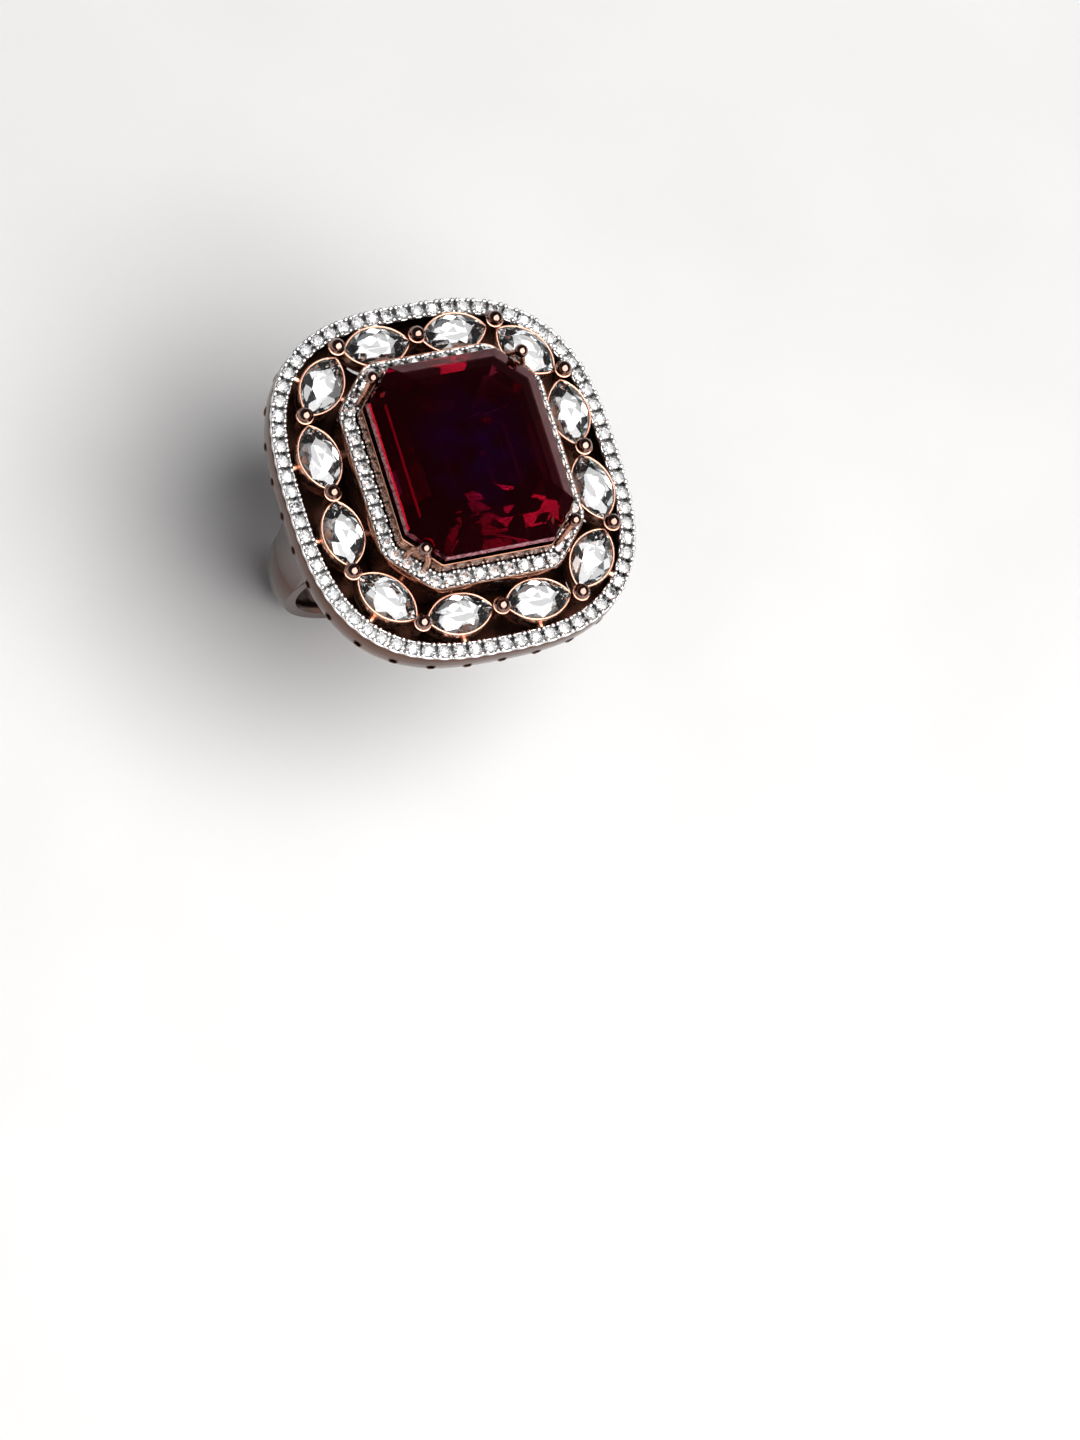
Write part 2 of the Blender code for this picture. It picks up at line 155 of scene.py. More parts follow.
# Marquise stones, bezels and the beads between them, as many of each
MARQUISES = 12
MARQUISE_LENGTH = 4.96
MARQUISE_WIDTH = 2.96
MARQUISE_INSET = 0.978
MARQUISE_CUT = (0.54, 0.50, 0.07, 1.40, 1.10)
GIRDLE_HEIGHT = 0.90
BEZEL_TOP = 0.95
BEZEL_FOOT = -0.50
BEZEL_LIP = 0.15
PIN_RADIUS = 0.30
RAIL_PIN_HEIGHT = -0.02
HALO_PIN_HEIGHT = 0.40
PIN_OVERLAP = 0.1
BEAD_RADIUS = 0.585
BEAD_HEIGHT = 1.55
CUP_RADIUS = 0.66
CUP_TOP = 1.50
STEM_RADIUS = 0.30

# Centre stone above its keel, from below: inset, share of the corner cut, and height.
# Sides that lean less than the girdle does are ground, not polished.
STONE_STEPS = ((4.55, 0.40, -1.05), (3.45, 0.58, 0.10), (2.40, 0.70, 1.18),
               (1.45, 0.82, 2.16), (0.62, 0.92, 3.04), (0.08, 0.99, 3.74),
               (0.0, 1.0, 4.20), (0.06, 1.0, 4.72), (0.18, 0.98, 4.83),
               (0.90, 0.88, 5.451), (1.04, 0.86, 5.543), (1.75, 0.76, 5.925),
               (2.50, 0.66, 6.15))
KEEL_INSET = 5.70
KEEL_CUT = 0.18
GIRDLE_LEAN = 0.12

# Claws of the centre stone: a ball on two wires
CLAW_BALL_RADIUS = 0.50
CLAW_BALL_HEIGHT = 5.25
CLAW_BALL_OUT = 0.57
CLAW_WIRE_RADIUS = 0.20
CLAW_SPREAD = 0.78

# Points of a claw's wire: outwards from the corner, share of the spread, and height
CLAW_WIRE_PATH = ((0.45, 1.0, HALO_TOP - 0.1), (0.45, 1.0, 3.0), (0.46, 0.84, 3.8),
                  (0.50, 0.50, 4.5), (CLAW_BALL_OUT, 0.14, 5.1))

# Angles, in degrees, under which neighbouring faces are shaded as one surface
FACETED = 0
CAST = 35.0
SPUN = 50.0
ROUND = 180.0

FLOOR_RADIUS = 3.0

# Lamps, all at one distance from the head. Each has a name, azimuth, elevation, width,
# height, radiance, and the kinds of surface that show it.
LIGHT_DISTANCE = 0.60

ROOM_LIGHTS = (("low_front", -95, 18, 0.34, 0.34, 1.0, "matt gloss"),)

# These leave out the red centre stone
WHITE_LIGHTS = (("wash", -60, 66, 0.68, 0.68, 4.9, "matt"),
                ("fill", -60, 76, 1.60, 1.60, 0.20, "gems"),
                ("over_table", 37, 63, 0.20, 0.20, 4.0, "gloss gems"),
                ("key", -88, 70, 1.00, 1.00, 6.0, "gloss"),
                ("near_camera", -143, 64, 0.22, 0.22, 1.05, "gems"),
                ("overhead", -150, 86, 0.20, 0.20, 1.05, "gems"),
                ("back", 100, 60, 0.26, 0.26, 1.05, "gems"),
                ("back_left", 150, 52, 0.26, 0.26, 1.25, "gems"),
                ("left", -165, 46, 0.26, 0.26, 1.25, "gems"),
                ("front", -95, 56, 0.26, 0.26, 1.05, "gems"),
                ("front_right", -55, 56, 0.26, 0.26, 1.05, "gems"),
                ("right", -15, 50, 0.26, 0.26, 1.05, "gems"),
                ("back_right", 37, 63, 0.26, 0.26, 1.45, "gems"),
                ("low_1", 20, 26, 0.26, 0.26, 0.90, "gems"),
                ("low_2", 75, 26, 0.26, 0.26, 0.90, "gems"),
                ("low_3", 125, 26, 0.26, 0.26, 0.90, "gems"),
                ("low_4", 180, 26, 0.26, 0.26, 0.90, "gems"),
                ("low_5", -130, 26, 0.26, 0.26, 0.90, "gems"),
                ("low_6", -80, 26, 0.26, 0.26, 0.90, "gems"),
                ("low_7", -35, 26, 0.26, 0.26, 0.90, "gems"))

# These reach nothing but the red centre stone
RED_LIGHTS = (("heart_wash", -60, 66, 0.68, 0.68, 2.6, "matt"),
              ("edge_streak", 163, 23, 0.10, 0.10, 6.5, "gloss"),
              ("inner_streak", 158, 44, 0.07, 0.07, 1.6, "gloss"),
              ("foot_streak", -68, 18, 0.07, 0.07, 4.0, "gloss"),
              ("corner_flash", -165, 36, 0.34, 0.34, 120.0, "gems"),
              ("foot_flash", 160, 44, 0.34, 0.34, 50.0, "gems"),
              ("step_flash", 37, 63, 0.26, 0.26, 2.0, "gems"))

# Surroundings: height of a direction's end on the unit sphere, and the colour there
SKY = ((0.0, (0.50, 0.49, 0.48)), (0.04, (0.26, 0.26, 0.26)), (0.15, (0.10, 0.10, 0.10)),
       (0.42, (0.05, 0.05, 0.055)), (1.0, (0.03, 0.03, 0.035)))

# Camera: its turn from straight above, its distance from the head, and how far left of
# the view's middle and above it the head sits. Angles are in degrees.
CAMERA_PITCH = -22.23
CAMERA_YAW = 16.99
CAMERA_ROLL = 10.68
CAMERA_DISTANCE = 0.5517
HEAD_LEFT = 0.64
HEAD_UP = 1.80
SENSOR_WIDTH = 36.0
LENS = 193.3


# ------------------------------------------------------------ materials

def new_material(name, **constants):
    """A material whose Principled shader has these sockets set as constants."""
    material = bpy.data.materials.new(name)
    material.use_nodes = True
    shader = material.node_tree.nodes["Principled BSDF"]
    for socket, value in constants.items():
        shader.inputs[socket.replace("_", " ")].default_value = value
    return material, material.node_tree, shader


def add_node(tree, kind, inputs=None, **settings):
    """Add a node; an input's value is a constant or another node's output to link."""
    node = tree.nodes.new("ShaderNode" + kind)
    for key, value in settings.items():
        setattr(node, key, value)
    for socket, value in (inputs or {}).items():
        if isinstance(value, bpy.types.NodeSocket):
            tree.links.new(value, node.inputs[socket])
        else:
            node.inputs[socket].default_value = value
    return node


def place_of(tree):
    """Coordinates in metres in the ring's frame, which every piece shares."""
    return add_node(tree, "TexCoord").outputs["Object"]


def grain(tree, place, scale, detail=3.0, stretch=None):
    """Noise between 0 and 1 whose grains are 1/scale metres wide."""
    if stretch:
        place = add_node(tree, "Mapping", {"Vector": place, "Scale": stretch}).outputs[0]
    return add_node(tree, "TexNoise", {"Vector": place, "Scale": scale,
                                       "Detail": detail}).outputs[0]


def spread(tree, factor, low, high, start=0.35, end=0.65):
    """Map a noise value to a range of numbers."""
    node = add_node(tree, "MapRange", {"Value": factor, "From Min": start, "From Max": end,
                                       "To Min": low, "To Max": high})
    return node.outputs["Result"]


def blend_colours(tree, factor, first, second):
    """Mix two colours, each of which may be another node's output."""
    node = add_node(tree, "Mix", data_type="RGBA")
    tree.links.new(factor, node.inputs[0])
    for socket, value in ((node.inputs[6], first), (node.inputs[7], second)):
        if isinstance(value, bpy.types.NodeSocket):
            tree.links.new(value, socket)
        else:
            socket.default_value = (*value, 1.0)
    return node.outputs[2]


def polished_metal(name, bright, deep, crevice_shade, gloss=(0.05, 0.14), **constants):
    """Cast and polished metal: cloudy tone, polishing lines, and painted shade that darkens
    its crevices.
    """
    material, tree, shader = new_material(name, Metallic=1.0, **constants)
    place = place_of(tree)
    tone = blend_colours(tree, spread(tree, grain(tree, place, 380.0), 0, 1), bright, deep)
    # Painted shade: where ambient occlusion finds other surfaces close by, the colour turns
    # to crevice_shade
    hollow = add_node(tree, "AmbientOcclusion", {"Distance": 0.45 * MM}, samples=4)
    shade = spread(tree, hollow.outputs["AO"], 0, 1, start=0.25, end=0.85)
    colour = blend_colours(tree, shade, crevice_shade, tone)
    tree.links.new(colour, shader.inputs["Base Color"])
    lines = grain(tree, place, 2600.0, 4.0, stretch=(1.0, 0.12, 1.0))
    tree.links.new(spread(tree, lines, *gloss), shader.inputs["Roughness"])
    bump = add_node(tree, "Bump", {"Height": lines, "Strength": 0.06,
                                   "Distance": 0.02 * MM})
    tree.links.new(bump.outputs[0], shader.inputs["Normal"])
    return material


def clear_gem(name):
    """Colourless cubic zirconia with a faint uneven tint."""
    material, tree, shader = new_material(name, IOR=2.16, Transmission_Weight=0.99)
    place = place_of(tree)
    tint = spread(tree, grain(tree, place, 260.0), 0, 1)
    colour = blend_colours(tree, tint, (1.0, 0.985, 0.97), (0.965, 0.985, 1.0))
    tree.links.new(colour, shader.inputs["Base Color"])
    haze = spread(tree, grain(tree, place, 1900.0, 4.0), 0.0, 0.02, 0.5, 0.75)
    tree.links.new(haze, shader.inputs["Roughness"])
    return material


def red_gem():
    """Deep red stone: it darkens with depth, and is violet near its middle."""
    material, tree, shader = new_material("deep_red_stone", IOR=1.77,
                                          Transmission_Weight=0.98,
                                          Specular_Tint=(0.95, 0.0, 0.02, 1.0))
    place = place_of(tree)
    flat = add_node(tree, "VectorMath", {0: place, 1: (1.0, 0.85, 0.0)},
                    operation="MULTIPLY")
    length = add_node(tree, "VectorMath", {0: flat.outputs[0]}, operation="LENGTH")
    heart = spread(tree, length.outputs["Value"], 0, 1, 1.0 * MM, 5.0 * MM)
    colour = blend_colours(tree, heart, (0.50, 0.06, 1.0), (0.60, 0.06, 0.12))
    clouds = spread(tree, grain(tree, place, 420.0, 5.0), 0, 1)
    colour = blend_colours(tree, clouds, colour, (0.46, 0.04, 0.09))
    tree.links.new(colour, shader.inputs["Base Color"])
    haze = spread(tree, grain(tree, place, 1500.0, 4.0), 0.0, 0.03, 0.45, 0.75)
    tree.links.new(haze, shader.inputs["Roughness"])
    depth = add_node(tree, "VolumeAbsorption", {"Color": (0.87, 0.80, 0.83, 1.0),
                                                "Density": 2000.0})
    output = tree.nodes["Material Output"]
    tree.links.new(depth.outputs[0], output.inputs["Volume"])
    return material


def frosted_girdle():
    """The ground edge of the centre stone: dull red, with pink speckles."""
    material, tree, shader = new_material("frosted_girdle", IOR=1.77,
                                          Specular_IOR_Level=0.2)
    place = place_of(tree)
    speck = spread(tree, grain(tree, place, 5200.0, 5.0), 0, 1, 0.42, 0.64)
    colour = blend_colours(tree, speck, (0.26, 0.035, 0.06), (0.72, 0.36, 0.40))
    tree.links.new(colour, shader.inputs["Base Color"])
    tree.links.new(spread(tree, speck, 0.25, 0.5, 0, 1), shader.inputs["Roughness"])
    return material


# ------------------------------------------------------------ outlines

def spaced(outline, count):
    """Walk a closed outline and return count points at equal spacing."""
    total = len(outline)
    lengths = [(outline[(i + 1) % total] - outline[i]).length for i in range(total)]
    pitch = sum(lengths) / count
    points = []
    walked = 0.0
    index = 0
    for k in range(count):
        while walked + lengths[index] < k * pitch:
            walked += lengths[index]
            index += 1
        share = (k * pitch - walked) / lengths[index]
        points.append(outline[index].lerp(outline[(index + 1) % total], share))
    return points


def frame_outline(count):
    """The outer frame's centreline, from +X anticlockwise, at equal spacing."""
    curve = []
    for step in range(CURVE_STEPS):
        angle = 2 * math.pi * step / CURVE_STEPS
        across = abs(math.cos(angle) / FRAME_HALF_X) ** FRAME_POWER
        along = abs(math.sin(angle) / FRAME_HALF_Y) ** FRAME_POWER
        far = (across + along) ** (-1 / FRAME_POWER)
        curve.append(Vector((far * math.cos(angle), far * math.sin(angle))))
    return spaced(curve, count)


def octagon(shrink=0.0, cut=1.0):
    """The centre stone's outline, made smaller, with its corner cuts scaled."""
    half_x = STONE_HALF_X - shrink
    half_y = STONE_HALF_Y - shrink
    right_top = [Vector((half_x, half_y - STONE_CUT_Y * cut)),
                 Vector((half_x - STONE_CUT_X * cut, half_y))]
    left_top = [Vector((-p.x, p.y)) for p in reversed(right_top)]
    return right_top + left_top + [-p for p in right_top + left_top]


def outward(outline):
    """Mitre vector at each point: it moves every side of the outline out by one."""
    total = len(outline)
    result = []
    for i in range(total):
        before = (outline[i] - outline[i - 1]).normalized()
        after = (outline[(i + 1) % total] - outline[i]).normalized()
        side = Vector((before.y, -before.x))
        normal = (side + Vector((after.y, -after.x))).normalized()
        result.append(normal / normal.dot(side))
    return result


def offset(outline, distance):
    """The outline moved outwards by a distance."""
    return [point + mitre * distance for point, mitre in zip(outline, outward(outline))]


def eased(outline, cut, steps=3):
    """Round every corner of a closed outline, starting cut away from it."""
    total = len(outline)
    result = []
    for i, corner in enumerate(outline):
        before = outline[i - 1] - corner
        after = outline[(i + 1) % total] - corner
        start = corner + before.normalized() * min(cut, before.length * 0.45)
        end = corner + after.normalized() * min(cut, after.length * 0.45)
        for k in range(steps + 1):
            t = k / steps
            result.append(start * (1 - t) ** 2 + corner * 2 * t * (1 - t) + end * t * t)
    return result


def marquise_outline(length, width, per_side=9):
    """Two arcs that meet in points on the X axis, anticlockwise from +X."""
    radius = (length * length + width * width) / (4 * width)
    half_angle = math.asin(length / 2 / radius)
    drop = radius - width / 2
    upper = []
    for step in range(per_side):
        angle = half_angle * (1 - 2 * step / per_side)
        upper.append(Vector((radius * math.sin(angle), radius * math.cos(angle) - drop)))
    return upper + [-p for p in upper]


def circle(radius, sides):
    """Points round the origin, anticlockwise from +X."""
    turns = [2 * math.pi * k / sides for k in range(sides)]
    return [Vector((radius * math.cos(a), radius * math.sin(a))) for a in turns]


def centre_of(node):
    """Middle of a CAD node's box, in plan."""
    low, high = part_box(node)
    return ((low + high) / 2 / MM).to_2d()


def marquise_places():
    """Centre and direction of each marquise stone, between two bead prongs."""
    beads = [centre_of(f"bead_prong_{i + 1:02d}") for i in range(MARQUISES)]
    places = []
    for bead, following in zip(beads, beads[1:] + beads[:1]):
        centre = (bead + following) / 2 * MARQUISE_INSET
        places.append((centre, (bead - following).normalized()))
    return places


def reach(outline, start, direction):
    """Distance from a point to the nearest crossing of an outline along a direction."""
    far = start + direction * 30
    sides = zip(outline, outline[1:] + outline[:1])
    hits = [intersect_line_line_2d(start, far, a, b) for a, b in sides]
    return min((hit - start).length for hit in hits if hit)


# ------------------------------------------------------------ meshes

def loft(bm, loops, closed=False):
    """Join loops of equal length with quads; cap the ends, or join last to first."""
    rows = [[bm.verts.new(point) for point in loop] for loop in loops]
    joins = list(zip(rows, rows[1:]))
    if closed:
        joins.append((rows[-1], rows[0]))
    for lower, upper in joins:
        count = len(lower)
        for i in range(count):
            j = (i + 1) % count
            bm.faces.new((lower[i], lower[j], upper[j], upper[i]))
    if not closed:
        bm.faces.new(list(reversed(rows[0])))
        bm.faces.new(rows[-1])


def band(bm, outline, profile, round_by=0.0, wave=None):
    """Sweep a closed profile of (offset, height) along a closed outline.

    round_by eases the profile's corners, and wave scales the offsets at each point.
    """
    section = [Vector(p) for p in profile]
    if round_by:
        section = eased(section, round_by)
    mitres = outward(outline)
    loops = []
    for distance, height in section:
        loop = []
        for i, (point, mitre) in enumerate(zip(outline, mitres)):
            out = distance * (wave[i] if wave else 1.0)
            at = point + mitre * out
            loop.append((at.x, at.y, FACE + height))
        loops.append(loop)
    loft(bm, loops, closed=True)


def prism(bm, outline, low, high):
    """A solid with an upright wall along an outline."""
    loft(bm, [[(p.x, p.y, FACE + level) for p in outline] for level in (low, high)])


def turned(bm, profile, sides, centre):
    """Spin (radius, height) pairs about an upright axis; the ends close on the axis."""
    bottom = bm.verts.new((centre.x, centre.y, FACE + profile[0][1]))
    top = bm.verts.new((centre.x, centre.y, FACE + profile[-1][1]))
    rows = []
    for radius, level in profile[1:-1]:
        points = [centre + p for p in circle(radius, sides)]
        rows.append([bm.verts.new((p.x, p.y, FACE + level)) for p in points])
    for k in range(sides):
        j = (k + 1) % sides
        bm.faces.new((bottom, rows[0][j], rows[0][k]))
        bm.faces.new((top, rows[-1][k], rows[-1][j]))
        for lower, upper in zip(rows, rows[1:]):
            bm.faces.new((lower[k], lower[j], upper[j], upper[k]))


def ball(bm, centre, radius, detail=2):
    """A ball of triangles; detail is how often they are split."""
    bmesh.ops.create_icosphere(bm, subdivisions=detail, radius=radius,
                               matrix=Matrix.Translation(centre))


def tube(bm, points, radius, sides=14):
    """A round wire through points, with flat ends."""
    loops = []
    side = (points[1] - points[0]).orthogonal()
    for i, point in enumerate(points):
        ahead = points[min(i + 1, len(points) - 1)]
        behind = points[max(i - 1, 0)]
        direction = (ahead - behind).normalized()
        side = (side - direction * side.dot(direction)).normalized()
        other = direction.cross(side)
        loops.append([point + (side * p.x + other * p.y) for p in circle(radius, sides)])
    loft(bm, loops)


def smooth_path(points, steps=6):
    """A curve through points (Catmull-Rom), with steps parts between two of them."""
    ends = [points[0] * 2 - points[1]] + points + [points[-1] * 2 - points[-2]]
    result = []
    for p0, p1, p2, p3 in zip(ends, ends[1:], ends[2:], ends[3:]):
        for k in range(steps):
            t = k / steps
            bend = (p1 * 2 + (p2 - p0) * t + (p0 * 2 - p1 * 5 + p2 * 4 - p3) * t * t
                    + (p1 * 3 - p0 - p2 * 3 + p3) * t ** 3)
            result.append(bend / 2)
    return result + [points[-1]]


def make_piece(name, bm, material, slot, *nodes, smooth=CAST):
    """Turn a bmesh in millimetres into a finished piece in metres that rides the ring.

    nodes are the CAD nodes that it stands for, and smooth is one of the angles above.
    """
    bmesh.ops.scale(bm, vec=(MM, MM, MM), verts=bm.verts)
    bmesh.ops.recalc_face_normals(bm, faces=bm.faces)
    mesh = bpy.data.meshes.new(name)
    bm.to_mesh(mesh)
    bm.free()
    if smooth:
        mesh.shade_smooth()
        mesh.set_sharp_from_angle(angle=math.radians(smooth))
    mesh.materials.append(material)
    piece = bpy.data.objects.new(name, mesh)
    bpy.context.scene.collection.objects.link(piece)
    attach(piece, "root")
    if nodes:
        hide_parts(*nodes)
    return piece


def combine(piece, tool_bm, operation):
    """Cut or join a piece with a tool mesh in millimetres, and apply the result."""
    bmesh.ops.scale(tool_bm, vec=(MM, MM, MM), verts=tool_bm.verts)
    bmesh.ops.recalc_face_normals(tool_bm, faces=tool_bm.faces)
    tool_mesh = bpy.data.meshes.new("tool")
    tool_bm.to_mesh(tool_mesh)
    tool_bm.free()
    tool = bpy.data.objects.new("tool", tool_mesh)
    bpy.context.scene.collection.objects.link(tool)
    modifier = piece.modifiers.new("combine", "BOOLEAN")
    modifier.operation = operation
    modifier.solver = "EXACT"
    modifier.object = tool
    finished = piece.evaluated_get(bpy.context.evaluated_depsgraph_get())
    mesh = bpy.data.meshes.new_from_object(finished)
    piece.modifiers.clear()
    mesh.name = piece.name
    piece.data = mesh
    mesh.shade_smooth()
    mesh.set_sharp_from_angle(angle=math.radians(CAST))
    bpy.data.objects.remove(tool)


# ------------------------------------------------------------ cut stones

def facet_corner(normal_a, point_a, normal_b, point_b, height):
    """Where two facet planes cross at a height."""
    a = normal_a.dot(point_a) - normal_a.z * height
    b = normal_b.dot(point_b) - normal_b.z * height
    det = normal_a.x * normal_b.y - normal_a.y * normal_b.x
    return Vector(((a * normal_b.y - b * normal_a.y) / det,
                   (normal_a.x * b - normal_b.x * a) / det, height))


def kite_corners(rim, apexes, level, join_height):
    """Side corners of eight kite facets that run from every other rim point to an apex."""
    planes = []
    for k in range(8):
        edge = Vector((*rim[2 * k], level))
        chord = rim[(2 * k + 1) % 16] - rim[2 * k - 1]
        planes.append(((apexes[k] - edge).cross(chord.to_3d()), edge))
    return [facet_corner(*planes[k], *planes[(k + 1) % 8], join_height) for k in range(8)]


def brilliant(bm, rim, cut, place):
    """A brilliant cut on a rim of sixteen points, moved by the matrix place.

    cut holds the table's share of the rim, the crown, girdle and pavilion heights, and
    half the length of the keel along X, which is 0 for a stone that ends in a point.
    """
    table, crown, girdle, pavilion, keel = cut
    top = girdle / 2
    table_points = [Vector((*(rim[2 * k] * table), top + crown)) for k in range(8)]
    keel_shares = (1, 1, 0, -1, -1, -1, 0, 1)
    tips = [Vector((share * keel, 0, -top - pavilion)) for share in keel_shares]
    star_joins = kite_corners(rim, table_points, top, top + crown * STAR_JOIN)
    deep_joins = kite_corners(rim, tips, -top, -top - pavilion * PAVILION_JOIN)

    def raised(points):
        return [bm.verts.new(place @ Vector(p)) for p in points]

    tables = raised(table_points)
    stars = raised(star_joins)
    upper = raised([(*p, top) for p in rim])
    lower = raised([(*p, -top) for p in rim])
    deep = raised(deep_joins)
    bow = raised(tips[:1])[0]
    stern = raised(tips[4:5])[0] if keel else bow
    bm.faces.new(tables)
    for k in range(8):
        n = (k + 1) % 8
        even, odd, after = 2 * k, 2 * k + 1, (2 * k + 2) % 16
        bm.faces.new((tables[k], stars[k], tables[n]))
        bm.faces.new((tables[k], stars[k - 1], upper[even], stars[k]))
        bm.faces.new((stars[k], upper[even], upper[odd]))
        bm.faces.new((stars[k], upper[odd], upper[after]))
        bm.faces.new((upper[even], lower[even], lower[odd], upper[odd]))
        bm.faces.new((upper[odd], lower[odd], lower[after], upper[after]))
        bm.faces.new((deep[k], lower[odd], lower[even]))
        bm.faces.new((deep[k], lower[after], lower[odd]))
        end = {1: (bow,), -1: (stern,), 0: (bow, stern) if k == 2 else (stern, bow)}
        tip = end[keel_shares[k]] if keel else (bow,)
        bm.faces.new((*tip, deep[k], lower[even], deep[k - 1]))


def round_stones(bm, path, count, height, dice):
    """A row of round brilliants, each turned and tipped a little differently."""
    rim = circle(MELEE_RADIUS, 16)
    stops = spaced(path, count)
    for point in stops:
        spin = Matrix.Rotation(dice.uniform(0, math.tau), 4, "Z")
        tilt = math.radians(dice.uniform(-MELEE_TILT, MELEE_TILT))
        hinge = Vector((dice.uniform(-1, 1), dice.uniform(-1, 1), 0.01))
        tip = Matrix.Rotation(tilt, 4, hinge)
        place = Matrix.Translation((point.x, point.y, FACE + height)) @ tip @ spin
        brilliant(bm, rim, MELEE_CUT, place)


# ------------------------------------------------------------ rows of round stones

def make_outer_rail(metal, gem, dice):
    """The cushion-shaped rail: a channel that swells at each stone, beads and stones."""
    per_stone = 8
    stations = per_stone * FRAME_STONES
    outline = frame_outline(stations)
    wave = [1.0 + RAIL_WAVE * math.cos(math.tau * i / per_stone) for i in range(stations)]
    half = RAIL_HALF_WIDTH / (1 + RAIL_WAVE)
    body = half - 0.12
    profile = ((-body, RAIL_FOOT), (body, RAIL_FOOT), (body, -0.26), (half, -0.16),
               (half, -0.02), (half - 0.10, 0.02), (0.38, -0.16), (0.13, -0.50),
               (-0.13, -0.50), (-0.38, -0.16), (0.10 - half, 0.02), (-half, -0.02),
               (-half, -0.16), (-body, -0.26))
    bm = bmesh.new()
    band(bm, outline, profile, round_by=0.05, wave=wave)
    make_piece("outer_rail_channel", bm, metal, "white_metal", "outer_rail")

    bm = bmesh.new()
    stops = frame_outline(2 * FRAME_STONES)
    for point, mitre in list(zip(stops, outward(stops)))[1::2]:
        along = Vector((-mitre.y, mitre.x))
        for side in (-1, 1):
            for step in (-RAIL_BEAD_STEP, RAIL_BEAD_STEP):
                at = point + mitre * side * PAVE_BEAD_OUT + along * step
                ball(bm, (at.x, at.y, FACE + RAIL_BEAD_RISE), PAVE_BEAD_RADIUS)
    make_piece("outer_rail_beads", bm, metal, "white_metal", smooth=ROUND)

    bm = bmesh.new()
    round_stones(bm, frame_outline(CURVE_STEPS), FRAME_STONES, 0.0, dice)
    make_piece("outer_rail_stones", bm, gem, "clear_stone", "outer_stone_row",
               smooth=FACETED)


def make_halo(metal, gold, gem, dice):
    """The octagonal rail round the centre stone, on its gold wall."""
    outline = octagon()
    top = HALO_TOP
    soft = eased(outline, HALO_EASE)
    profile = ((HALO_INNER, HALO_FOOT), (HALO_CHANNEL_OUTER, HALO_FOOT),
               (HALO_CHANNEL_OUTER, top - 0.02), (1.24, top - 0.04), (1.10, top - 0.16),
               (HALO_ROW + 0.12, top - 0.52), (HALO_ROW - 0.12, top - 0.52),
               (HALO_ROW - 0.38, top - 0.16), (HALO_INNER, top))
    bm = bmesh.new()
    band(bm, soft, profile, round_by=0.04)
    make_piece("halo_channel", bm, metal, "white_metal", "halo_rail")

    row = offset(outline, HALO_ROW)
    row = [(row[-1] + row[0]) / 2] + row
    stops = spaced(row, 2 * HALO_STONES)
    bm = bmesh.new()
    for i in range(1, 2 * HALO_STONES, 2):
        along = (stops[(i + 1) % len(stops)] - stops[i - 1]).normalized()
        out = Vector((along.y, -along.x))
        for side in (-1, 1):
            for step in (-HALO_BEAD_STEP, HALO_BEAD_STEP):
                at = stops[i] + out * side * PAVE_BEAD_OUT + along * step
                ball(bm, (at.x, at.y, FACE + top + HALO_BEAD_RISE), PAVE_BEAD_RADIUS)
    make_piece("halo_beads", bm, metal, "white_metal", smooth=ROUND)

    bm = bmesh.new()
    round_stones(bm, row, HALO_STONES, top, dice)
    make_piece("halo_stones", bm, gem, "clear_stone", "halo_stone_row", smooth=FACETED)

    foot = PLATE_TOP
    ledge = HALO_FOOT
    side = ((HALO_OUTER, ledge), (1.14, ledge - 0.25), (0.80, foot), (0.30, foot),
            (0.60, ledge - 0.5), (-0.40, ledge - 0.4), (-0.40, ledge),
            (HALO_CHANNEL_OUTER, ledge), (HALO_CHANNEL_OUTER, top),
            (HALO_OUTER - 0.02, top + 0.02), (HALO_OUTER, top - 0.03))
    bm = bmesh.new()
    band(bm, soft, side, round_by=0.02)
    make_piece("halo_side", bm, gold, "rose_gold", "halo_wall")


# ------------------------------------------------------------ centre stone

def make_centre(gem, girdle_material, gold):
    """An emerald cut with a stepped crown and pavilion, and a frosted girdle."""
    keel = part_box("centre_stone")[0].z / MM - FACE
    bm = bmesh.new()
    loops = []
    for shrink, cut, height in ((KEEL_INSET, KEEL_CUT, keel), *STONE_STEPS):
        loops.append([(p.x, p.y, FACE + height) for p in octagon(shrink, cut)])
    loft(bm, loops)
    bm.normal_update()
    bm.faces.index_update()
    frosted = [f.index for f in bm.faces if abs(f.normal.z) < GIRDLE_LEAN]
    piece = make_piece("centre_stone_cut", bm, gem, "red_stone", "centre_stone",
                       smooth=FACETED)
    piece.data.materials.append(girdle_material)
    for index in frosted:
        piece.data.polygons[index].material_index = 1

    bm = bmesh.new()
    top = SEAT_TOP
    profile = ((0.17, HALO_FOOT), (0.17, top - 0.04), (0.13, top), (0.06, top),
               (0.0, top - 0.05), (-0.42, top - 0.48), (-0.42, HALO_FOOT))
    band(bm, eased(octagon(), SEAT_EASE), profile, round_by=0.03)
    make_piece("seat_collar", bm, gold, "rose_gold", "centre_seat")
    return piece


